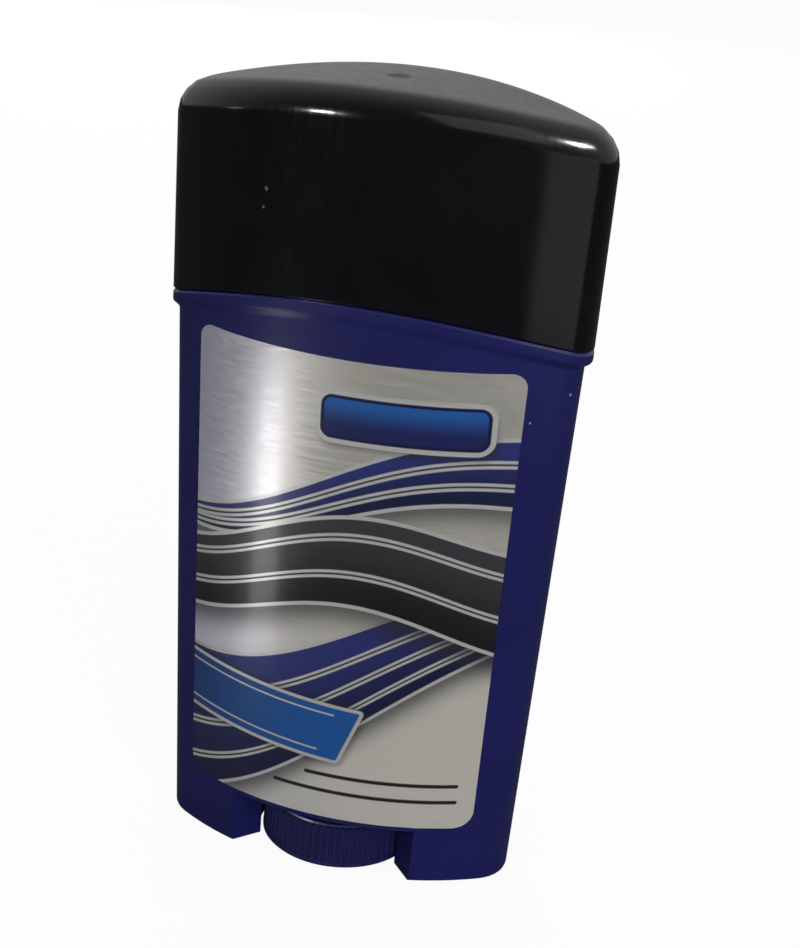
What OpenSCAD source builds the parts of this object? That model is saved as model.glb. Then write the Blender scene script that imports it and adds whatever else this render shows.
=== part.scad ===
// Twist-up deodorant stick, in millimetres, standing on its feet with its label facing -Y.
// An oval barrel tapers down to two feet. A dial between the feet turns a left-hand screw, which
// raises a platform with the bar of product on it. An arched cap pushes down over the neck.

/* [Overall] */
// height to the middle of the cap's crown
height = 120; // [90:1:160]
// half width of the barrel just under its collar
shoulder_half_w = 30.4; // [24:0.1:40]
// half depth of the barrel just under its collar
shoulder_half_d = 15.1; // [12:0.1:20]
// how much the half width shrinks from the collar down to the feet
side_taper = 2.8; // [0:0.1:5]
// how much the half depth shrinks from the collar down to the feet
front_taper = 2.5; // [0:0.1:4]
// radius of the rounded left and right ends
end_r = 6.5; // [5:0.1:9]

/* [Cap] */
// height of the cap at its left and right ends, up to the level of its crown
cap_h = 34.5; // [25:0.1:50]
// how far the cap stands out past the barrel at the left and right ends
cap_out_w = 1.1; // [0.5:0.05:2]
// how far the cap stands out past the barrel at the front and back
cap_out_d = 0.2; // [0.1:0.05:1]
// widening of the cap from its lower edge to its rounded top
cap_flare_w = 0.3; // [0:0.05:1]
// deepening of the cap from its lower edge to its rounded top
cap_flare_d = 0.7; // [0:0.05:1.5]
// rise of the cap's lower edge from the ends to the middle
edge_arch = 5.3; // [0:0.1:8]
// drop of the top from the middle to the ends
crown = 4.3; // [0:0.1:8]
// radius between the cap's wall and its top
cap_round = 4; // [1.6:0.1:6]
// wall of the cap
cap_wall = 1.2; // [0.9:0.05:2]
// radius of the dimple where the cap was gated
gate_r = 2.4; // [1:0.1:3]
// depth of that dimple
gate_depth = 0.3; // [0.1:0.05:0.8]

/* [Barrel] */
// wall of the barrel at the floor
barrel_wall = 1.2; // [0.8:0.05:2.5]
// wall of the neck
neck_wall = 1.2; // [0.8:0.05:2.5]
// height of the collar that carries the cap, at the ends
collar_h = 2.9; // [1.5:0.1:6]
// height of the snap bead above the middle of the cap's edge
bead_rise = 1.4; // [1.2:0.1:4]
// how far the snap bead stands out
bead_out = 0.2; // [0.1:0.05:0.4]
// height of the neck's rim above the snap bead
rim_rise = 1.3; // [1:0.1:4]
// top of the finger notches, and underside of the floor
notch_h = 9; // [7:0.1:14]
// thickness of the floor
floor_t = 1.6; // [1:0.1:3]
// gap between the dial and a finger notch's side wall, at the barrel's face
notch_room = 2.4; // [1:0.1:5]
// how far a notch's side wall leans in on its way to the dial
notch_lean = 3.7; // [0:0.1:6]
// depth of a notch's side wall
notch_depth = 4.3; // [2:0.1:6]
// walls and ribs of the hollow feet
foot_wall = 1.2; // [0.8:0.05:2]

/* [Dial and screw] */
// how far the dial's ribs stay back from the front of the feet
dial_in = 0.4; // [0:0.1:2]
// height of the dial's underside above the ground
dial_lift = 0.3; // [0.2:0.1:1.5]
// gap between the dial's ribbed wall and the barrel's floor
dial_drop = 1.4; // [0.6:0.1:3]
// height of the dial's smooth rim under its ribs
dial_rim = 1; // [0.6:0.1:2]
// number of ribs round the dial
dial_ribs = 66; // [30:1:120]
// depth of a rib
rib_depth = 0.42; // [0.2:0.02:1]
// thread lead: how far one turn moves the platform
lead = 4; // [2.8:0.1:8]
// radius over the thread
thread_r = 4; // [3.2:0.1:6]
// radius of the screw's core
core_r = 2.85; // [2:0.05:4]
// how far the journal that turns in the floor stands out past the thread
journal_out = 0.4; // [0.2:0.05:2]
// radial gap between that journal and the floor's bore
journal_gap = 0.05; // [0.02:0.01:0.1]
// how far the screw ends below the neck's rim
screw_drop = 10; // [4:0.5:30]
// width of the thread's ridge at its root
thread_root_w = 1.75; // [0.8:0.05:2]
// width of the thread's ridge at its tip
thread_tip_w = 0.8; // [0.4:0.05:1.5]

/* [Platform and bar] */
// thickness of the platform
plate_t = 1.4; // [0.8:0.1:3]
// height of the threaded boss under the platform
boss_h = 4.8; // [3:0.1:8]
// height of the bar that is left
bar_left = 34.5; // [15:0.5:70]
// height of the bar's crown above the neck's rim
bar_above_rim = 1.9; // [0:0.1:5]
// gap between the platform and the bore at the lowest stop
plate_gap = 0.35; // [0.2:0.05:0.8]

/* [Label] */
// distance from the barrel's side to the label at its lower edge
label_low_in = 5; // [3:0.1:12]
// distance from the barrel's side to the label at its upper edge
label_high_in = 6.1; // [3:0.1:12]
// height of the label's lower edge above the finger notches
label_low_gap = 0.8; // [0.2:0.1:10]
// drop from the cap's edge at the ends to the label's upper edge
label_high_gap = 2.3; // [1:0.1:20]
// corner radius of the label
label_r = 4; // [1:0.1:10]
// thickness of the film
label_t = 0.12; // [0.05:0.01:0.4]

/* [Detail] */
// points round each end of an oval section
end_points = 12; // [4:1:16]
// points along each long side of an oval section
side_points = 28; // [12:1:60]
// steps in one turn of the thread
thread_steps = 18; // [12:1:36]

/* [Hidden] */
$fn = 96;
slit = 0.2;                                   // visible gap between the cap and the collar
slide_gap = 0.3;                              // gap between pieces that slide past each other
skin = 0.05;                                  // gap of pieces that are stuck or set together
past = 1;                                     // how far a cutter runs past the surface it cuts
ring_gap = 0.3;                               // end play of the screw in the floor
dial_gap = 0.55;                              // gap round the dial
catch_h = 1.5;                                // height of the screw's snap catch
catch_out = 0.5;                              // how far the catch stands out past the journal
fin_h = 7;                                    // height of the fins that hold the bar

foot_half_w = shoulder_half_w - side_taper;
foot_half_d = shoulder_half_d - front_taper;
cap_half_w = shoulder_half_w + cap_out_w;
cap_half_d = shoulder_half_d + cap_out_d;
cap_top_half_w = cap_half_w + cap_flare_w;
cap_top_half_d = cap_half_d + cap_flare_d;
neck_in = cap_wall + slide_gap + bead_out;    // neck surface, in from the cap's outside
bore_r = end_r - neck_in - neck_wall;
edge_z = height - cap_h;                      // cap's lower edge at the ends
bead_z = edge_z + edge_arch + bead_rise;
rim_z = bead_z + rim_rise;
floor_z = notch_h + floor_t;
dial_r = foot_half_d - dial_in;
dial_top = notch_h - dial_drop;
notch_half_w = dial_r + notch_room;
journal_r = thread_r + journal_out;
thread_low = floor_z + ring_gap + catch_h;
screw_top = rim_z - screw_drop;
plate_low = thread_low + slide_gap + boss_h + plate_t;
bar_top = rim_z + bar_above_rim;
plate_z = bar_top - bar_left;
raised = plate_z - plate_low;                 // rise of the platform from its lowest stop
label_low_z = notch_h + label_low_gap;
label_high_z = edge_z - label_high_gap;

// Outline of the oval: two flat arcs joined by round ends, anticlockwise from the right end.
function oval(a, b, r) =
    let (A = a - r, B = b - r, inner = (A * A + B * B) / (2 * B), c = inner - B, R = inner + r,
         t = atan2(c, A),
         half = [for (i = [0 : end_points - 1]) let (u = -t + 2 * t * i / end_points)
                     [A + r * cos(u), r * sin(u)],
                 for (i = [0 : side_points - 1]) let (u = t + (180 - 2 * t) * i / side_points)
                     [R * cos(u), R * sin(u) - c]])
    concat(half, [for (p = half) -p]);

// Distance of the oval's front from the middle plane at x, for the flat arcs.
function front(a, b, r, x) =
    let (A = a - r, B = b - r, inner = (A * A + B * B) / (2 * B), R = inner + r)
    sqrt(R * R - x * x) - (inner - B);

function mix(p, q, t) = p + (q - p) * t;

// Half width and half depth of the barrel, the bore and the cap at height z.
function barrel_w(z) = mix(foot_half_w, shoulder_half_w, z / edge_z);
function barrel_d(z) = mix(foot_half_d, shoulder_half_d, z / edge_z);
function bore_w(z) =
    mix(barrel_w(floor_z) - barrel_wall, cap_half_w - neck_in - neck_wall, (z - floor_z) / (rim_z - floor_z));
function bore_d(z) =
    mix(barrel_d(floor_z) - barrel_wall, cap_half_d - neck_in - neck_wall, (z - floor_z) / (rim_z - floor_z));

// Height of the arched line between the barrel and the cap, and of the cap's crowned top.
function arch_z(x) = edge_z + edge_arch * (1 - pow(x / cap_half_w, 2));
function crown_z(x) = height - crown * pow(x / cap_top_half_w, 2);

// Rings of a loft: level, following the arched edge, and following the crown.
function level(z, a, b, r) = [for (p = oval(a, b, r)) [p.x, p.y, z]];
function arched(dz, a, b, r) = [for (p = oval(a, b, r)) [p.x, p.y, arch_z(p.x) + dz]];
function crowned(dz, a, b, r, s = 1) =
    [for (p = oval(a, b, r)) [p.x * s, p.y * s, crown_z(p.x * s) + dz]];
function round_ring(z, r) =
    let (n = 2 * (end_points + side_points), first = oval(cap_half_w, cap_half_d, end_r))
    [for (i = [0 : n - 1]) let (u = atan2(first[i].y, first[i].x)) [r * cos(u), r * sin(u), z]];

// A closed solid through rings of equal length, from a face that looks down to one that looks up.
module loft(rings) {
    n = len(rings[0]);
    last = len(rings) - 1;
    polyhedron(
        points = [for (ring = rings) each ring],
        faces = concat(
            [[for (i = [0 : n - 1]) i]],
            [for (k = [0 : last - 1], i = [0 : n - 1]) let (j = (i + 1) % n)
                each [[k * n + i, (k + 1) * n + i, (k + 1) * n + j],
                      [k * n + i, (k + 1) * n + j, k * n + j]]],
            [[for (i = [n - 1 : -1 : 0]) last * n + i]]));
}

// A rod with a left-hand thread between two heights, its ridge fading out at both ends. All rods
// with the same lead share one phase, so a nut cut by a wider rod meshes with the screw.
module threaded(z_low, z_high, core, tip, root_w, tip_w) {
    n = thread_steps;
    fade = 0.6;
    first = lead * (ceil(z_low / lead) + 1);
    turns = floor((z_high - first) / lead);
    m = 4 * turns;
    shape = [[0, -root_w / 2], [1, -tip_w / 2], [1, tip_w / 2], [0, root_w / 2]];
    function at(i, r, z) = [r * cos(360 * i / n), r * sin(360 * i / n), z];
    function v(i, j) = n + i * m + j;
    function top(i) = n + n * m + i;
    polyhedron(
        points = concat(
            [for (i = [0 : n - 1]) at(i, core, z_low)],
            [for (i = [0 : n - 1], k = [0 : turns - 1], p = shape)
                let (g = k - i / n, grow = max(0, min(1, (g + 1) / fade, (turns - 1 - g) / fade)))
                at(i, core + (tip - core) * p.x * grow, first + lead * (g + 0.5) + p.y)],
            [for (i = [0 : n - 1]) at(i, core, z_high)]),
        faces = concat(
            [[for (i = [0 : n - 1]) i]],
            [for (i = [0 : n - 2]) each [[i, v(i, 0), v(i + 1, 0)], [i, v(i + 1, 0), i + 1]]],
            [[v(0, 0), 0, n - 1], [v(0, 0), n - 1, v(n - 1, 0)]],
            [for (j = [0 : 3]) [v(0, 0), v(n - 1, j), v(n - 1, j + 1)]],
            [for (i = [0 : n - 2], j = [0 : m - 2])
                each [[v(i, j), v(i, j + 1), v(i + 1, j + 1)], [v(i, j), v(i + 1, j + 1), v(i + 1, j)]]],
            [for (j = [4 : m - 2])
                each [[v(n - 1, j), v(n - 1, j + 1), v(0, j - 3)], [v(n - 1, j), v(0, j - 3), v(0, j - 4)]]],
            [for (j = [m - 1 : -1 : m - 4]) [v(n - 1, m - 1), v(0, j), v(0, j - 1)]],
            [[v(n - 1, m - 1), top(n - 1), top(0)], [v(n - 1, m - 1), top(0), v(0, m - 1)]],
            [for (i = [0 : n - 2])
                each [[v(i, m - 1), top(i), top(i + 1)], [v(i, m - 1), top(i + 1), v(i + 1, m - 1)]]],
            [[for (i = [n - 1 : -1 : 0]) top(i)]]));
}

// Plan of a finger notch on the -Y side, grown by the given wall.
module notch_plan(wall = 0) {
    y = front(barrel_w(0), barrel_d(0), end_r, notch_half_w);
    slope = [notch_lean, notch_depth] / norm([notch_lean, notch_depth]);
    grow = [slope.y, slope.x] * wall;
    mouth = [notch_half_w, -y] + [grow.x, grow.y];
    inner = mouth - [notch_lean, -notch_depth];
    outer = mouth + [slope.x, -slope.y] * 2 * past;
    polygon([inner, [-inner.x, inner.y], [-outer.x, outer.y], [-outer.x, -2 * foot_half_d],
             [outer.x, -2 * foot_half_d], outer]);
}

// Room for the dial and for the fingers that turn it, grown by the given wall.
module dial_room(wall = 0) {
    circle(r = dial_r + dial_gap + wall);
    notch_plan(wall);
    mirror([0, 1]) notch_plan(wall);
}

module barrel() {
    neck = [cap_half_w - neck_in, cap_half_d - neck_in, end_r - neck_in];
    bevel = 0.3;
    lip = 0.35;
    toe = 0.4;
    toe_h = 0.45;
    collar_slope = 1.5;
    bead_half = 0.5;
    bead_flat = 0.15;
    floor_round = 0.8;
    pocket_w = barrel_w(0) - foot_wall;
    rib_x = 0.76 * pocket_w;
    color([0.11, 0.11, 0.36])
    difference() {
        loft([
            for (k = [0, 45, 90]) let (e = toe * (1 - sin(k)), z = toe_h * (1 - cos(k)))
                level(z, barrel_w(z) - e, barrel_d(z) - e, end_r - e),
            for (k = [0 : 45 : 180]) let (t = (1 - cos(k)) / 2)
                arched(-collar_h + collar_slope * k / 180, shoulder_half_w + t * cap_out_w,
                       shoulder_half_d + t * cap_out_d, end_r),
            arched(-bevel, cap_half_w, cap_half_d, end_r),
            arched(0, cap_half_w - bevel, cap_half_d - bevel, end_r - bevel),
            arched(0, neck.x, neck.y, neck.z),
            level(bead_z - bead_half, neck.x, neck.y, neck.z),
            for (dz = [-bead_flat, bead_flat])
                level(bead_z + dz, neck.x + bead_out, neck.y + bead_out, neck.z + bead_out),
            level(bead_z + bead_half, neck.x, neck.y, neck.z),
            level(rim_z - lip, neck.x, neck.y, neck.z),
            level(rim_z, neck.x - lip, neck.y - lip, neck.z - lip),
            level(rim_z, bore_w(rim_z) + lip, bore_d(rim_z) + lip, bore_r + lip),
            level(rim_z - lip, bore_w(rim_z), bore_d(rim_z), bore_r),
            let (z = floor_z + floor_round) level(z, bore_w(z), bore_d(z), bore_r),
            let (e = floor_round) level(floor_z, bore_w(floor_z) - e, bore_d(floor_z) - e, bore_r - e),
        ]);
        translate([0, 0, -past]) linear_extrude(notch_h + past) dial_room();
        translate([0, 0, -past]) linear_extrude(notch_h + past) difference() {
            polygon(oval(pocket_w, barrel_d(0) - foot_wall, end_r - foot_wall));
            dial_room(foot_wall);
            square([2 * pocket_w + past, foot_wall], center = true);
            for (side = [-1, 1]) translate([side * rib_x, 0])
                square([foot_wall, 3 * foot_half_d], center = true);
        }
        cylinder(r = journal_r + journal_gap, h = floor_z + past);
    }
}

module cap() {
    inner_w = cap_half_w - cap_wall;
    inner_d = cap_half_d - cap_wall;
    top_w = cap_top_half_w - cap_wall;
    top_d = cap_top_half_d - cap_wall;
    inner_r = end_r - cap_wall;
    hollow_round = cap_round - cap_wall;
    groove = 0.75 * bead_out;
    groove_half = 0.75;
    groove_flat = 0.4;
    lip = 0.2;
    lead_in = 0.15;
    tip = 1.6 * cap_round;
    color([0.03, 0.03, 0.04])
    loft([
        crowned(-cap_wall, top_w - hollow_round, top_d - hollow_round, inner_r, 0.12),
        crowned(-cap_wall, top_w - hollow_round, top_d - hollow_round, inner_r, 0.55),
        for (k = [90, 45]) let (e = hollow_round * (1 - cos(k)))
            crowned(-cap_wall - hollow_round * (1 - sin(k)), top_w - e, top_d - e, inner_r - e / 2),
        crowned(-cap_wall - hollow_round, top_w, top_d, inner_r),
        level(bead_z + groove_half, inner_w, inner_d, inner_r),
        for (dz = [groove_flat, -groove_flat])
            level(bead_z + dz, inner_w + groove, inner_d + groove, inner_r + groove),
        level(bead_z - groove_half, inner_w, inner_d, inner_r),
        arched(slit + lead_in, inner_w, inner_d, inner_r),
        arched(slit, inner_w + lead_in, inner_d + lead_in, inner_r + lead_in),
        arched(slit, cap_half_w - lip, cap_half_d - lip, end_r - lip),
        arched(slit + lip, cap_half_w, cap_half_d, end_r),
        for (k = [0, 22.5, 45, 67.5, 90]) let (e = cap_round * (1 - cos(k)))
            crowned(-cap_round * (1 - sin(k)), cap_top_half_w - e, cap_top_half_d - e, end_r - e / 2),
        crowned(0, cap_top_half_w - tip, cap_top_half_d - tip, end_r - tip / 2),
        for (s = [0.55, 0.32])
            crowned(0, cap_top_half_w - cap_round, cap_top_half_d - cap_round, end_r - cap_round / 2, s),
        for (p = [[1, 0], [0.8, 0.25], [0.6, 0.7], [0.35, 1]])
            round_ring(height - p.y * gate_depth, p.x * gate_r),
    ]);
}

module dial_screw() {
    step = 0.1;
    root_r = dial_r - rib_depth;
    tip_r = dial_r - step / 2;
    pitch = 360 / dial_ribs;
    rib = [[-0.34, root_r], [-0.16, tip_r], [0.16, tip_r], [0.34, root_r]];
    rim_t = 1.5;
    hub_r = core_r + 1.35;
    collar_r = journal_r + 2;
    edge = 0.3;
    spoke = 1;
    catch_z = floor_z + ring_gap;
    catch_flat = 0.5;
    tip_h = 0.8;
    bore_end = 6;
    color([0.12, 0.12, 0.4])
    difference() {
        union() {
            translate([0, 0, dial_lift + dial_rim - step])
                linear_extrude(dial_top - edge - dial_lift - dial_rim + step)
                    polygon([for (i = [0 : dial_ribs - 1]) each
                        [for (p = rib) let (u = (i + p[0]) * pitch) [p[1] * cos(u), p[1] * sin(u)]]]);
            translate([0, 0, dial_lift + edge]) cylinder(r = dial_r, h = dial_rim - edge);
            translate([0, 0, dial_lift]) cylinder(r1 = dial_r - edge, r2 = dial_r - step, h = edge + step);
            translate([0, 0, dial_top - edge - step])
                cylinder(r1 = root_r - step, r2 = root_r - edge, h = edge + step);
            cylinder(r = collar_r, h = notch_h - ring_gap);
            cylinder(r = journal_r, h = catch_z + step);
            translate([0, 0, catch_z]) cylinder(r = journal_r + catch_out, h = catch_flat);
            translate([0, 0, catch_z + catch_flat])
                cylinder(r1 = journal_r + catch_out, r2 = core_r + 4 * step, h = catch_h - catch_flat);
            threaded(catch_z, screw_top - past, core_r, thread_r, thread_root_w, thread_tip_w);
            translate([0, 0, screw_top - 2 * past]) cylinder(r = core_r - 2 * step, h = 2 * past - tip_h);
            translate([0, 0, screw_top - tip_h])
                cylinder(r1 = core_r - 2 * step, r2 = core_r - tip_h, h = tip_h);
        }
        translate([0, 0, -past]) cylinder(r = core_r / 2, h = screw_top - bore_end + past);
        difference() {
            translate([0, 0, -past]) cylinder(r = root_r - rim_t, h = dial_top - rim_t + past);
            translate([0, 0, -2 * past]) cylinder(r = hub_r, h = height);
            for (u = [0 : 60 : 300]) rotate(u)
                translate([0, -spoke / 2, 3 * dial_lift]) cube([dial_r, spoke, dial_top]);
        }
        translate([0, 0, -past]) cylinder(r = dial_r, h = past + dial_lift);
    }
}

// Fins that hold the bar, rooted in the platform, grown by the given gap.
module fins(gap = 0) {
    fin_x = 0.57 * bore_w(plate_low);
    long = 0.38 * bore_w(plate_low);
    wide = 0.68 * bore_d(plate_low);
    fin_t = 1.1;
    root = plate_t / 2;
    for (side = [-1, 1], plan = [[long, fin_t], [fin_t, wide]])
        translate([side * fin_x - plan.x / 2 - gap, -plan.y / 2 - gap, plate_z - root])
            cube([plan.x + 2 * gap, plan.y + 2 * gap, root + fin_h + gap]);
}

module elevator() {
    skirt_h = 3.2;
    skirt_t = 0.9;
    a = bore_w(plate_low - plate_t - skirt_h) - plate_gap;
    b = bore_d(plate_low - plate_t - skirt_h) - plate_gap;
    boss_r = thread_r + 2.3;
    rib_t = 1;
    rib_x = 0.55 * a;
    nut_core = core_r + slide_gap;
    nut_low = plate_z - plate_t - boss_h;
    color([0.93, 0.93, 0.9])
    difference() {
        union() {
            translate([0, 0, plate_z - plate_t - skirt_h]) linear_extrude(skirt_h + plate_t)
                polygon(oval(a, b, bore_r));
            translate([0, 0, nut_low]) cylinder(r = boss_r, h = boss_h + plate_t);
            fins();
        }
        translate([0, 0, plate_z - plate_t - skirt_h - past]) linear_extrude(skirt_h + past) difference() {
            polygon(oval(a - skirt_t, b - skirt_t, bore_r - skirt_t));
            circle(r = boss_r);
            square([2 * a, rib_t], center = true);
            for (side = [-1, 1]) translate([side * rib_x, 0]) square([rib_t, 3 * b], center = true);
        }
        threaded(nut_low - 3 * lead, plate_z + 3 * lead, nut_core, thread_r + slide_gap,
                 thread_root_w + 2 * slide_gap, thread_tip_w + 2 * slide_gap);
    }
}

module deodorant_bar() {
    bottom = plate_z + skin;
    a0 = bore_w(plate_low) - plate_gap;
    b0 = bore_d(plate_low) - plate_gap;
    a1 = bore_w(bar_top - raised) - plate_gap;
    b1 = bore_d(bar_top - raised) - plate_gap;
    edge = 4.5;
    drop = 5.5;
    side_drop = 1.5;
    color([0.86, 0.93, 0.95])
    difference() {
        loft([
            level(bottom, a0, b0, bore_r),
            for (k = [0, 30, 60, 90]) let (e = edge * (1 - cos(k)))
                [for (p = oval(a1 - e, b1 - e, bore_r - e / 2))
                    [p.x, p.y, bar_top - drop * pow(p.x / a1, 2) - side_drop * pow(p.y / b1, 2)
                               - edge * (1 - sin(k))]],
            for (s = [0.66, 0.33])
                [for (p = oval(a1 - edge, b1 - edge, bore_r - edge / 2) * s)
                    [p.x, p.y, bar_top - drop * pow(p.x / a1, 2) - side_drop * pow(p.y / b1, 2)]],
        ]);
        cylinder(r = thread_r + 1.5 * slide_gap, h = height);
        fins(skin);
    }
}

module front_label() {
    columns = 30;
    corner_steps = 9;
    corner = [for (k = [0 : corner_steps]) 90 * k / corner_steps];
    low_half = barrel_w(label_low_z) - label_low_in;
    high_half = barrel_w(label_high_z) - label_high_in;
    rows = concat(
        [for (k = corner) [label_low_z + label_r * (1 - cos(k)), label_r * (1 - sin(k))]],
        [for (i = [corner_steps : -1 : 0]) let (k = corner[i])
            [label_high_z - label_r * (1 - cos(k)), label_r * (1 - sin(k))]]);
    sheet = [for (off = [skin, skin + label_t], row = rows)
                let (z = row[0], half = mix(low_half, high_half,
                                            (z - label_low_z) / (label_high_z - label_low_z)) - row[1])
                for (i = [0 : columns]) let (x = mix(-half, half, i / columns))
                    [x, -front(barrel_w(z), barrel_d(z), end_r, x) - off, z]];
    n = columns + 1;
    m = len(rows);
    back = n * m;
    color([0.78, 0.78, 0.76])
    polyhedron(
        points = sheet,
        faces = concat(
            [for (j = [0 : m - 2], i = [0 : columns - 1]) let (p = j * n + i)
                each [[p, p + 1, p + n + 1], [p, p + n + 1, p + n]]],
            [for (j = [0 : m - 2], i = [0 : columns - 1]) let (p = back + j * n + i)
                each [[p + n + 1, p + 1, p], [p + n, p + n + 1, p]]],
            [for (i = [0 : columns - 1]) each [[i, back + i, back + i + 1], [i, back + i + 1, i + 1]]],
            [for (i = [0 : columns - 1]) let (p = (m - 1) * n + i)
                each [[p + 1, back + p + 1, back + p], [p + 1, back + p, p]]],
            [for (j = [0 : m - 2]) let (p = j * n)
                each [[p + n, back + p + n, back + p], [p + n, back + p, p]]],
            [for (j = [0 : m - 2]) let (p = j * n + columns)
                each [[p, back + p, back + p + n], [p, back + p + n, p + n]]]));
}

barrel();
cap();
dial_screw();
elevator();
deodorant_bar();
front_label();
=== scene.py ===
import math

import bpy
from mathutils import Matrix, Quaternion, Vector


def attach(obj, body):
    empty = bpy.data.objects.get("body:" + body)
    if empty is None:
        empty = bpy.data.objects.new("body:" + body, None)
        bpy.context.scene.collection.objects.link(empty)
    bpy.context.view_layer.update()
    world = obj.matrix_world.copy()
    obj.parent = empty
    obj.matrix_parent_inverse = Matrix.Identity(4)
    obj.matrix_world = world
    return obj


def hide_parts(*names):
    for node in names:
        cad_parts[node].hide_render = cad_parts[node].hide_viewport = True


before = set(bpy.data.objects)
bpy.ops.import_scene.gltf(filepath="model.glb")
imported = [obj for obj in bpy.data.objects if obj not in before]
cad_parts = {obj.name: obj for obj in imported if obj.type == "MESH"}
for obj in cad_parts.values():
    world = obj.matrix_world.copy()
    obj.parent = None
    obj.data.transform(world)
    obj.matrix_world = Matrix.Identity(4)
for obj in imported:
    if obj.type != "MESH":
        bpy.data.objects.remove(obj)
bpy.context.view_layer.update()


# Camera: in front of the label, a little to the right and above, with the stick leaning to the
# right in the picture. The picture is 800 wide and 948 high, and its height takes the whole sensor.
view_from = Vector((0.06634, -0.23959, 0.15639))
view_to = Vector((0.00508, 0, 0.06219))
view_roll = math.radians(4.98)
picture_height = 948
lens_in_pixels = 1784.43
sensor_mm = 36
bpy.ops.object.camera_add(location=view_from)
camera = bpy.context.object
camera.name = "product_camera"
camera.rotation_mode = "QUATERNION"
aimed = (view_to - view_from).to_track_quat("-Z", "Y")
camera.rotation_quaternion = aimed @ Quaternion((0, 0, 1), view_roll)
camera.data.sensor_width = sensor_mm
camera.data.lens = lens_in_pixels / picture_height * sensor_mm
bpy.context.scene.camera = camera
bpy.context.scene.view_settings.view_transform = "Standard"


# Studio: a pale floor that keeps the stick's shadow, a white surround and eight lamps. The surround
# is softer as a light, and to a gloss it darkens from the back to the front, as the cap's dark
# mirror of the room asks. The two fills light the skin, and the cards and spots show in gloss only.
def add_node(tree, kind, inputs=None, **settings):
    made = tree.nodes.new(kind)
    for key, value in settings.items():
        setattr(made, key, value)
    for key, value in (inputs or {}).items():
        if isinstance(value, bpy.types.NodeSocket):
            tree.links.new(value, made.inputs[key])
        else:
            made.inputs[key].default_value = value
    return made


def calc(tree, operation, a, b=0.0, c=0.0):
    return add_node(tree, "ShaderNodeMath", {0: a, 1: b, 2: c}, operation=operation).outputs[0]


def ease(tree, value, low, high, at_low=0.0, at_high=1.0):
    made = add_node(tree, "ShaderNodeMapRange", {0: value, 1: low, 2: high, 3: at_low, 4: at_high},
                    interpolation_type="SMOOTHSTEP")
    return made.outputs[0]


fill_strength = 0.5
gloss_in_front = 0.08
gloss_behind = 0.54
surround = bpy.data.worlds.new("studio_surround")
surround.use_nodes = True
tree = surround.node_tree
tree.nodes.clear()
rays = add_node(tree, "ShaderNodeLightPath")
seen = calc(tree, "MAXIMUM", rays.outputs["Is Camera Ray"],
            calc(tree, "MAXIMUM", rays.outputs["Is Glossy Ray"], rays.outputs["Is Transmission Ray"]))
fill = add_node(tree, "ShaderNodeBackground", {"Color": (1, 1, 1, 1), "Strength": fill_strength})
way = add_node(tree, "ShaderNodeTexCoord").outputs["Generated"]
behind = add_node(tree, "ShaderNodeSeparateXYZ", {0: way}).outputs[1]
backdrop = ease(tree, behind, -0.9, 0.4, gloss_in_front, gloss_behind)
strength = calc(tree, "MAXIMUM", backdrop, rays.outputs["Is Camera Ray"])
white = add_node(tree, "ShaderNodeBackground", {"Color": (1, 1, 1, 1), "Strength": strength})
both = add_node(tree, "ShaderNodeMixShader", {0: seen, 1: fill.outputs[0], 2: white.outputs[0]})
add_node(tree, "ShaderNodeOutputWorld", {"Surface": both.outputs[0]})
bpy.context.scene.world = surround

glow_share = 0.93
bpy.ops.mesh.primitive_plane_add(size=8, location=(0, 0, -0.0001))
floor = bpy.context.object
floor.name = "studio_floor"
paper = bpy.data.materials.new("floor_paper")
paper.use_nodes = True
tree = paper.node_tree
tree.nodes.clear()
rays = add_node(tree, "ShaderNodeLightPath")
pale = add_node(tree, "ShaderNodeBsdfDiffuse", {"Color": (0.92, 0.92, 0.92, 1)})
glow = add_node(tree, "ShaderNodeEmission", {"Color": (1, 1, 1, 1), "Strength": 1.0})
shown = add_node(tree, "ShaderNodeMixShader", {0: glow_share, 1: pale.outputs[0], 2: glow.outputs[0]})
dim = add_node(tree, "ShaderNodeBsdfDiffuse", {"Color": (0.08, 0.08, 0.08, 1)})
either = add_node(tree, "ShaderNodeMixShader",
                  {0: rays.outputs["Is Camera Ray"], 1: dim.outputs[0], 2: shown.outputs[0]})
add_node(tree, "ShaderNodeOutputMaterial", {"Surface": either.outputs[0]})
floor.data.materials.append(paper)

# Each lamp: its place, the height that it points at, its size, its power and whether it is a mirrored
# card or spot.
lamps = [
    ("fill_front", (0.50, -0.82, 0.50), 0.25, (0.8, 0.8), 6.8, False),
    ("fill_back", (-0.45, 0.85, 0.45), 0.1, (0.8, 0.8), 4.0, False),
    ("card_left", (-0.078, -0.074, 0.010), 0.150, (0.022, 0.075), 0.022, True),
    ("card_right", (0.265, -0.12, 0.06), 0.06, (0.13, 0.13), 0.022, True),
    ("card_high", (0.48, -0.55, 0.76), 0.118, (0.75, 0.70), 1.1, True),
    ("spot_left", (-0.49, -0.75, 0.24), 0.12, (0.09, 0.035), 3.6, True),
    ("spot_low", (-0.85, -0.28, 0.08), 0.04, (0.08, 0.04), 0.04, True),
    ("spot_right", (0.75, -0.11, 0.60), 0.3, (0.07, 0.10), 5.0, True),
]
for name, place, aim, size, power, mirrored in lamps:
    bpy.ops.object.light_add(type="AREA", location=place)
    lamp = bpy.context.object
    lamp.name = name
    lamp.data.shape = "RECTANGLE"
    lamp.data.size, lamp.data.size_y = size
    lamp.data.energy = power
    lamp.visible_camera = False
    lamp.visible_glossy = mirrored
    lamp.visible_diffuse = not mirrored
    lamp.rotation_euler = (Vector((0, 0, aim)) - Vector(place)).to_track_quat("-Z", "Y").to_euler()


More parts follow.
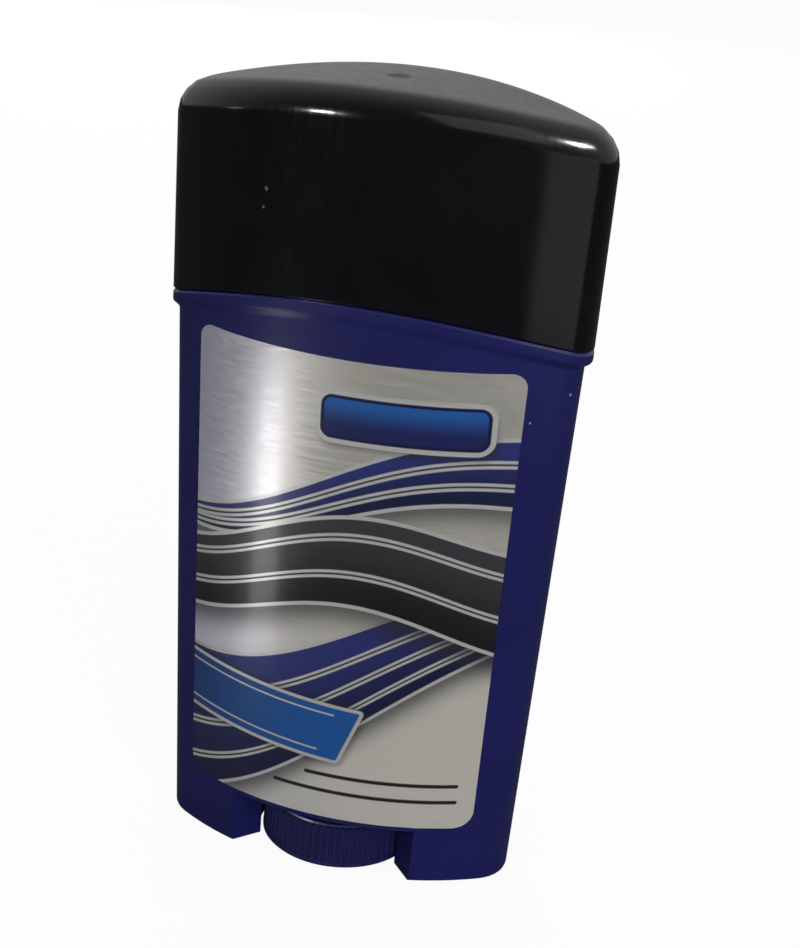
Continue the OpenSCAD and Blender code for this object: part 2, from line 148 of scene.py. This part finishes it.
# Barrel: one moulding of navy polypropylene, with collar, neck, floor and two hollow feet. Its skin
# is satin-glossy, with a faint mould texture, a little cloud in its blue and a few specks of dust.
def shell_of(node, name, sharp=30):
    bpy.ops.object.select_all(action="DESELECT")
    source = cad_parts[node]
    source.select_set(True)
    bpy.context.view_layer.objects.active = source
    bpy.ops.object.duplicate()
    piece = bpy.context.object
    piece.name = piece.data.name = name
    for key in [key for key in piece.keys() if key.startswith("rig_")]:
        del piece[key]
    piece.parent = None
    bpy.ops.object.mode_set(mode="EDIT")
    bpy.ops.mesh.select_all(action="SELECT")
    bpy.ops.mesh.remove_doubles(threshold=1e-6)
    bpy.ops.object.mode_set(mode="OBJECT")
    bpy.ops.mesh.customdata_custom_splitnormals_clear()
    bpy.ops.object.shade_smooth_by_angle(angle=math.radians(sharp))
    bpy.ops.object.modifier_add(type="WEIGHTED_NORMAL")
    piece.modifiers[-1].keep_sharp = True
    bpy.ops.object.modifier_apply(modifier=piece.modifiers[-1].name)
    piece.data.materials.clear()
    return piece


def new_finish(name, **sockets):
    finish = bpy.data.materials.new(name)
    finish.use_nodes = True
    shader = finish.node_tree.nodes["Principled BSDF"]
    for key, value in sockets.items():
        shader.inputs[key.replace("_", " ")].default_value = value
    return finish, finish.node_tree, shader


def place_mm(tree):
    spot = add_node(tree, "ShaderNodeTexCoord").outputs["Object"]
    return add_node(tree, "ShaderNodeVectorMath", {0: spot, "Scale": 1000.0}, operation="SCALE").outputs[0]


def mottle(tree, spot, size, detail=3.0, squeeze=(1, 1, 1)):
    squeezed = add_node(tree, "ShaderNodeMapping", {"Vector": spot, "Scale": squeeze}).outputs[0]
    made = add_node(tree, "ShaderNodeTexNoise", {"Vector": squeezed, "Scale": 1 / size, "Detail": detail})
    return made.outputs[0]


def blend(tree, share, a, b):
    made = add_node(tree, "ShaderNodeMix", {0: share, 6: a, 7: b}, data_type="RGBA")
    return made.outputs[2]


def skin_bump(tree, shader, height, depth_mm, strength=1.0):
    depth = depth_mm / 1000
    made = add_node(tree, "ShaderNodeBump", {"Height": height, "Strength": strength, "Distance": depth})
    tree.links.new(made.outputs[0], shader.inputs["Normal"])


def specks(tree, spot, marks):
    most = 0.0
    for centre, radius in marks:
        away = add_node(tree, "ShaderNodeVectorMath", {0: spot, 1: centre}, operation="DISTANCE")
        mark = ease(tree, away.outputs["Value"], 0.4 * radius, radius, 1.0, 0.0)
        most = calc(tree, "MAXIMUM", most, mark)
    return most


barrel = shell_of("barrel", "barrel_moulding")
navy, tree, shader = new_finish("navy_polypropylene", Specular_IOR_Level=0.36)
spot = place_mm(tree)
cloud = mottle(tree, spot, 14.0)
grain = mottle(tree, spot, 0.35, 2.0)
colour = blend(tree, ease(tree, cloud, 0.3, 0.7), (0.0110, 0.0120, 0.090, 1), (0.0136, 0.0146, 0.106, 1))
dust_marks = [((29.45, -3.14, 79.68), 0.28), ((24.9, -7.11, 75.9), 0.22), ((30.3, -1.2, 80.3), 0.2)]
dust = specks(tree, spot, dust_marks)
colour = blend(tree, dust, colour, (0.30, 0.32, 0.42, 1))
tree.links.new(colour, shader.inputs["Base Color"])
tree.links.new(ease(tree, grain, 0.25, 0.75, 0.27, 0.35), shader.inputs["Roughness"])
skin_bump(tree, shader, grain, 0.003, 0.2)
barrel.data.materials.append(navy)
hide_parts("barrel")
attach(barrel, "barrel")


# Label: a thin metallised film with a horizontally brushed look, stuck on the barrel's front, with its
# corners drawn out along the barrel's skin from the solid's radius to the tighter ones of the real
# film. It is printed with navy and charcoal waves, silver pinstripes, a badge and a blue panel.
label = shell_of("front_label", "label_film", 40)
solid_corner = 0.004
low_corner = 0.0028
high_corner = 0.0022


def corner_inset(radius, away):
    return radius - math.sqrt(radius ** 2 - max(radius - away, 0) ** 2)


def skin_at(x, z):
    return barrel.ray_cast(Vector((x, -0.1, z)), Vector((0, 1, 0)))[1].y


bpy.context.view_layer.update()
low_edge = min(point.co.z for point in label.data.vertices)
high_edge = max(point.co.z for point in label.data.vertices)
half_at = {}
for point in label.data.vertices:
    level = round(point.co.z, 6)
    half_at[level] = max(half_at.get(level, 0), point.co.x)
for point in label.data.vertices:
    x, z = point.co.x, point.co.z
    away, corner = min((z - low_edge, low_corner), (high_edge - z, high_corner))
    half = half_at[round(z, 6)]
    moved_x = x * (half + corner_inset(solid_corner, away) - corner_inset(corner, away)) / half
    point.co.y += skin_at(moved_x, z) - skin_at(x, z)
    point.co.x = moved_x
silver, tree, shader = new_finish("printed_silver_film", Coat_Weight=0.4, Coat_Roughness=0.14)
spot = place_mm(tree)
split = add_node(tree, "ShaderNodeSeparateXYZ", {0: spot})
across, up = split.outputs[0], split.outputs[2]


def total(tree, *parts):
    whole = parts[0]
    for part in parts[1:]:
        whole = calc(tree, "ADD", whole, part)
    return whole


def wave(tree, level, tilt, swing, length, shift):
    bend = calc(tree, "SINE", calc(tree, "MULTIPLY_ADD", across, 1 / length, shift / length))
    return calc(tree, "MULTIPLY_ADD", bend, swing, calc(tree, "MULTIPLY_ADD", across, tilt, level))


def around(tree, centre):
    return calc(tree, "SUBTRACT", across, centre[0]), calc(tree, "SUBTRACT", up, centre[1])


def slanted(tree, centre, turn_deg, lean):
    turn = math.radians(turn_deg)
    x, z = around(tree, centre)
    over = calc(tree, "MULTIPLY_ADD", z, math.cos(turn), calc(tree, "MULTIPLY", x, -math.sin(turn)))
    along = calc(tree, "MULTIPLY_ADD", x, math.cos(turn), calc(tree, "MULTIPLY", z, math.sin(turn)))
    return calc(tree, "MULTIPLY_ADD", over, -lean, along), over


def panel(tree, place, half_size, corner):
    sides = [calc(tree, "MAXIMUM", calc(tree, "SUBTRACT", calc(tree, "ABSOLUTE", axis), half - corner), 0.0)
             for axis, half in zip(place, half_size)]
    reach = calc(tree, "SQRT", total(tree, *[calc(tree, "MULTIPLY", side, side) for side in sides]))
    return calc(tree, "SUBTRACT", reach, corner)


def within(tree, distance, grow=0.0):
    soft = 0.09
    return ease(tree, distance, grow - soft, grow + soft, 1.0, 0.0)


def ink_on(tree, ground, ink, mask, shine=0.0):
    colour, bare = ground
    change = calc(tree, "SUBTRACT", shine, bare)
    return blend(tree, mask, colour, ink), calc(tree, "MULTIPLY_ADD", mask, change, bare)


silver_shine = 0.65
metal_share = 0.7
shadow_ink = (0.020, 0.020, 0.024, 1)
streak = mottle(tree, spot, 1.0, 3.0, (0.03, 1, 6.0))
cloud = mottle(tree, spot, 20.0, 1.0, (1, 1, 0.5))
film = blend(tree, ease(tree, streak, 0.3, 0.7), (0.70, 0.675, 0.605, 1), (0.76, 0.735, 0.66, 1))
film = blend(tree, ease(tree, cloud, 0.35, 0.75, 0.0, 0.6), film, (0.80, 0.775, 0.71, 1))
# Painted light: the film turns bluer towards its left edge, a painted cool tint of the light that falls
# there.
film = blend(tree, ease(tree, across, -26, 2, 1.0, 0.0), film, (0.73, 0.71, 0.84, 1))
bright = blend(tree, ease(tree, streak, 0.3, 0.7), (0.62, 0.62, 0.61, 1), (0.67, 0.67, 0.66, 1))
charcoal = blend(tree, ease(tree, up, 38, 62), (0.012, 0.012, 0.015, 1), (0.035, 0.035, 0.042, 1))
# The print is laid on in turn. The ground is its colour so far and how much of the metal shows.
ground = film, ease(tree, up, 22, 78, 0.58, 1.0)

# Each band: its course (height, tilt, swing, wave length and shift), half its height, how it widens to
# the right, where its pinstripes run, and the inks at its lower and upper edge.
navy_inks = (0.008, 0.010, 0.045, 1), (0.022, 0.030, 0.16, 1)
charcoal_inks = (0.008, 0.008, 0.010, 1), (0.040, 0.040, 0.046, 1)
bands = [
    ((61.5, 0.15, 4.2, 12.0, 4.0), 3.3, 0.07, (0.30, -0.42), navy_inks),
    ((32.0, 0.36, 4.6, 13.0, -3.0), 8.6, -0.15, (0.45, -0.08, -0.6), navy_inks),
    ((48.6, 0.02, 4.4, 10.5, 13.0), 6.6, 0.05, (0.58, -0.30), charcoal_inks),
]
for course, half, widen, stripes, inks in bands:
    middle = wave(tree, *course)
    reach = calc(tree, "MULTIPLY_ADD", across, widen, half)
    above = calc(tree, "SUBTRACT", up, middle)
    below = calc(tree, "ADD", above, reach)
    shade_low = ease(tree, below, -6.5, -0.4, 0.0, 0.85)
    shade_high = ease(tree, below, -0.2, 0.4, 1.0, 0.0)
    ground = ink_on(tree, ground, shadow_ink, calc(tree, "MULTIPLY", shade_low, shade_high))
    band_ink = blend(tree, ease(tree, calc(tree, "DIVIDE", above, reach), -1.0, 1.0), *inks)
    edge = calc(tree, "SUBTRACT", calc(tree, "ABSOLUTE", above), reach)
    ground = ink_on(tree, ground, bright, within(tree, edge, 0.6), silver_shine)
    ground = ink_on(tree, ground, band_ink, within(tree, edge))
    for place in stripes:
        stripe = calc(tree, "ABSOLUTE", calc(tree, "MULTIPLY_ADD", reach, -place, above))
        ground = ink_on(tree, ground, bright, within(tree, stripe, 0.62), silver_shine)
        ground = ink_on(tree, ground, charcoal, within(tree, stripe, 0.16))

# The badge: its fallen shadow, a silver rim with a navy line, and a blue field that lightens upwards.
badge_half = 11.6, 3.1
badge_corner = 1.5
badge = around(tree, (8.5, 74.8))
shape = panel(tree, badge, badge_half, badge_corner)
fall = panel(tree, around(tree, (9.1, 74.0)), badge_half, badge_corner)
ground = ink_on(tree, ground, shadow_ink, ease(tree, fall, -0.3, 1.8, 0.75, 0.0))
ground = ink_on(tree, ground, bright, within(tree, shape, 0.85), silver_shine)
ground = ink_on(tree, ground, (0.006, 0.008, 0.05, 1), within(tree, shape, 0.15))
blue = blend(tree, ease(tree, badge[1], -1.5, 2.9), (0.010, 0.014, 0.09, 1), (0.012, 0.10, 0.36, 1))
ground = ink_on(tree, ground, blue, within(tree, shape, -0.35))

# The blue panel: slanted, in a silver rim, with a thin rule along each long edge. Two charcoal rules
# stand below it.
banner = slanted(tree, (-14.0, 25.5), -4.0, 0.3)
shape = panel(tree, banner, (18.0, 4.4), 0.3)
ground = ink_on(tree, ground, (0.012, 0.012, 0.016, 1), ease(tree, shape, 0.1, 2.0, 0.7, 0.0))
ground = ink_on(tree, ground, bright, within(tree, shape, 0.55), silver_shine)
blue = blend(tree, ease(tree, banner[0], -14, 14), (0.010, 0.045, 0.17, 1), (0.010, 0.085, 0.31, 1))
ground = ink_on(tree, ground, blue, within(tree, shape))
rule_along = calc(tree, "ADD", banner[0], 1.0)
rule_over = calc(tree, "SUBTRACT", calc(tree, "ABSOLUTE", banner[1]), 3.2)
rule = panel(tree, (rule_along, rule_over), (15.5, 0.14), 0.1)
ground = ink_on(tree, ground, bright, within(tree, rule), silver_shine)
for centre, half in (((9.0, 17.2), 11.5), ((6.5, 14.4), 14.0)):
    rule = panel(tree, around(tree, centre), (half, 0.32), 0.3)
    ground = ink_on(tree, ground, charcoal, within(tree, rule))

tree.links.new(ground[0], shader.inputs["Base Color"])
tree.links.new(calc(tree, "MULTIPLY", ground[1], metal_share), shader.inputs["Metallic"])
tree.links.new(ease(tree, streak, 0.3, 0.7, 0.30, 0.40), shader.inputs["Roughness"])
skin_bump(tree, shader, mottle(tree, spot, 0.22, 2.0, (1, 1, 1.5)), 0.01, 0.35)
label.data.materials.append(silver)
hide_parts("front_label")
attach(label, "barrel")


# Cap: a glossy near-black polypropylene moulding that pushes down over the neck, arched at its
# lower edge and crowned on top, with a gate dimple. Its crown is duller than its wall, its gloss is
# a little smeared, and its front carries two light scuffs.
cap = shell_of("cap", "cap_moulding")
black, tree, shader = new_finish("black_polypropylene")
spot = place_mm(tree)
cloud = mottle(tree, spot, 9.0)
smear = mottle(tree, spot, 2.5, 3.0, (3, 1, 0.35))
split = add_node(tree, "ShaderNodeSeparateXYZ", {0: spot})
crown_drop = 4.3
half_width = 31.8
dull_from, dull_to = 119.0, 119.8
squared = calc(tree, "MULTIPLY", split.outputs[0], split.outputs[0])
arc = calc(tree, "MULTIPLY", squared, crown_drop / half_width ** 2)
top = ease(tree, calc(tree, "ADD", split.outputs[2], arc), dull_from, dull_to)
colour = blend(tree, ease(tree, cloud, 0.3, 0.7), (0.0020, 0.0021, 0.0033, 1), (0.0031, 0.0032, 0.0045, 1))
frayed = add_node(tree, "ShaderNodeVectorMath", {0: spot, 1: mottle(tree, spot, 0.5, 2.0)}, operation="ADD")
scuff = specks(tree, frayed.outputs[0], [((-12.95, -13.2, 105.5), 0.42), ((-13.3, -13.0, 102.85), 0.3)])
colour = blend(tree, scuff, colour, (0.10, 0.10, 0.11, 1))
tree.links.new(colour, shader.inputs["Base Color"])
gloss = total(tree, ease(tree, smear, 0.35, 0.75, 0.14, 0.18), calc(tree, "MULTIPLY", scuff, 0.3),
              calc(tree, "MULTIPLY", top, 0.14))
tree.links.new(gloss, shader.inputs["Roughness"])
skin_bump(tree, shader, mottle(tree, spot, 0.5, 2.0), 0.004, 0.2)
cap.data.materials.append(black)
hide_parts("cap")
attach(cap, "cap")


# Dial and screw: one navy acetal moulding. The ribbed dial sits between the feet and snaps
# through the floor with its screw standing up the middle of the barrel.
dial = shell_of("dial_screw", "dial_with_screw", 62)
acetal, tree, shader = new_finish("navy_acetal")
spot = place_mm(tree)
grain = mottle(tree, spot, 0.5, 2.0)
cloud = mottle(tree, spot, 6.0)
colour = blend(tree, ease(tree, cloud, 0.3, 0.7), (0.011, 0.012, 0.072, 1), (0.014, 0.015, 0.09, 1))
tree.links.new(colour, shader.inputs["Base Color"])
tree.links.new(ease(tree, grain, 0.25, 0.75, 0.34, 0.44), shader.inputs["Roughness"])
skin_bump(tree, shader, grain, 0.02, 0.5)
dial.data.materials.append(acetal)
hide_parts("dial_screw")
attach(dial, "dial")


# Platform: a natural polypropylene moulding with a threaded boss, a skirt and fins, a little
# translucent and cloudy. The screw carries it, and its skirt wipes the barrel's wall.
platform = shell_of("elevator", "platform_moulding", 25)
natural, tree, shader = new_finish("natural_polypropylene", Subsurface_Weight=0.15, Subsurface_Scale=0.002)
spot = place_mm(tree)
cloud = mottle(tree, spot, 5.0)
colour = blend(tree, ease(tree, cloud, 0.3, 0.7), (0.76, 0.76, 0.71, 1), (0.84, 0.84, 0.80, 1))
tree.links.new(colour, shader.inputs["Base Color"])
tree.links.new(ease(tree, mottle(tree, spot, 0.6), 0.25, 0.75, 0.36, 0.5), shader.inputs["Roughness"])
platform.data.materials.append(natural)
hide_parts("elevator")
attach(platform, "platform")


# Bar: solid deodorant cast in the barrel onto the platform, whose fins hold it. It is waxy and pale,
# and use has left a fine drag texture on it.
bar = shell_of("deodorant_bar", "product_bar")
waxy, tree, shader = new_finish("waxy_solid", Subsurface_Weight=0.3, Subsurface_Scale=0.003)
spot = place_mm(tree)
drag = mottle(tree, spot, 1.4, 3.0, (0.25, 2.2, 1))
cloud = mottle(tree, spot, 7.0)
colour = blend(tree, ease(tree, cloud, 0.3, 0.7), (0.74, 0.81, 0.82, 1), (0.80, 0.86, 0.87, 1))
tree.links.new(colour, shader.inputs["Base Color"])
tree.links.new(ease(tree, drag, 0.3, 0.7, 0.42, 0.6), shader.inputs["Roughness"])
skin_bump(tree, shader, drag, 0.08, 0.6)
bar.data.materials.append(waxy)
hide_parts("deodorant_bar")
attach(bar, "platform")
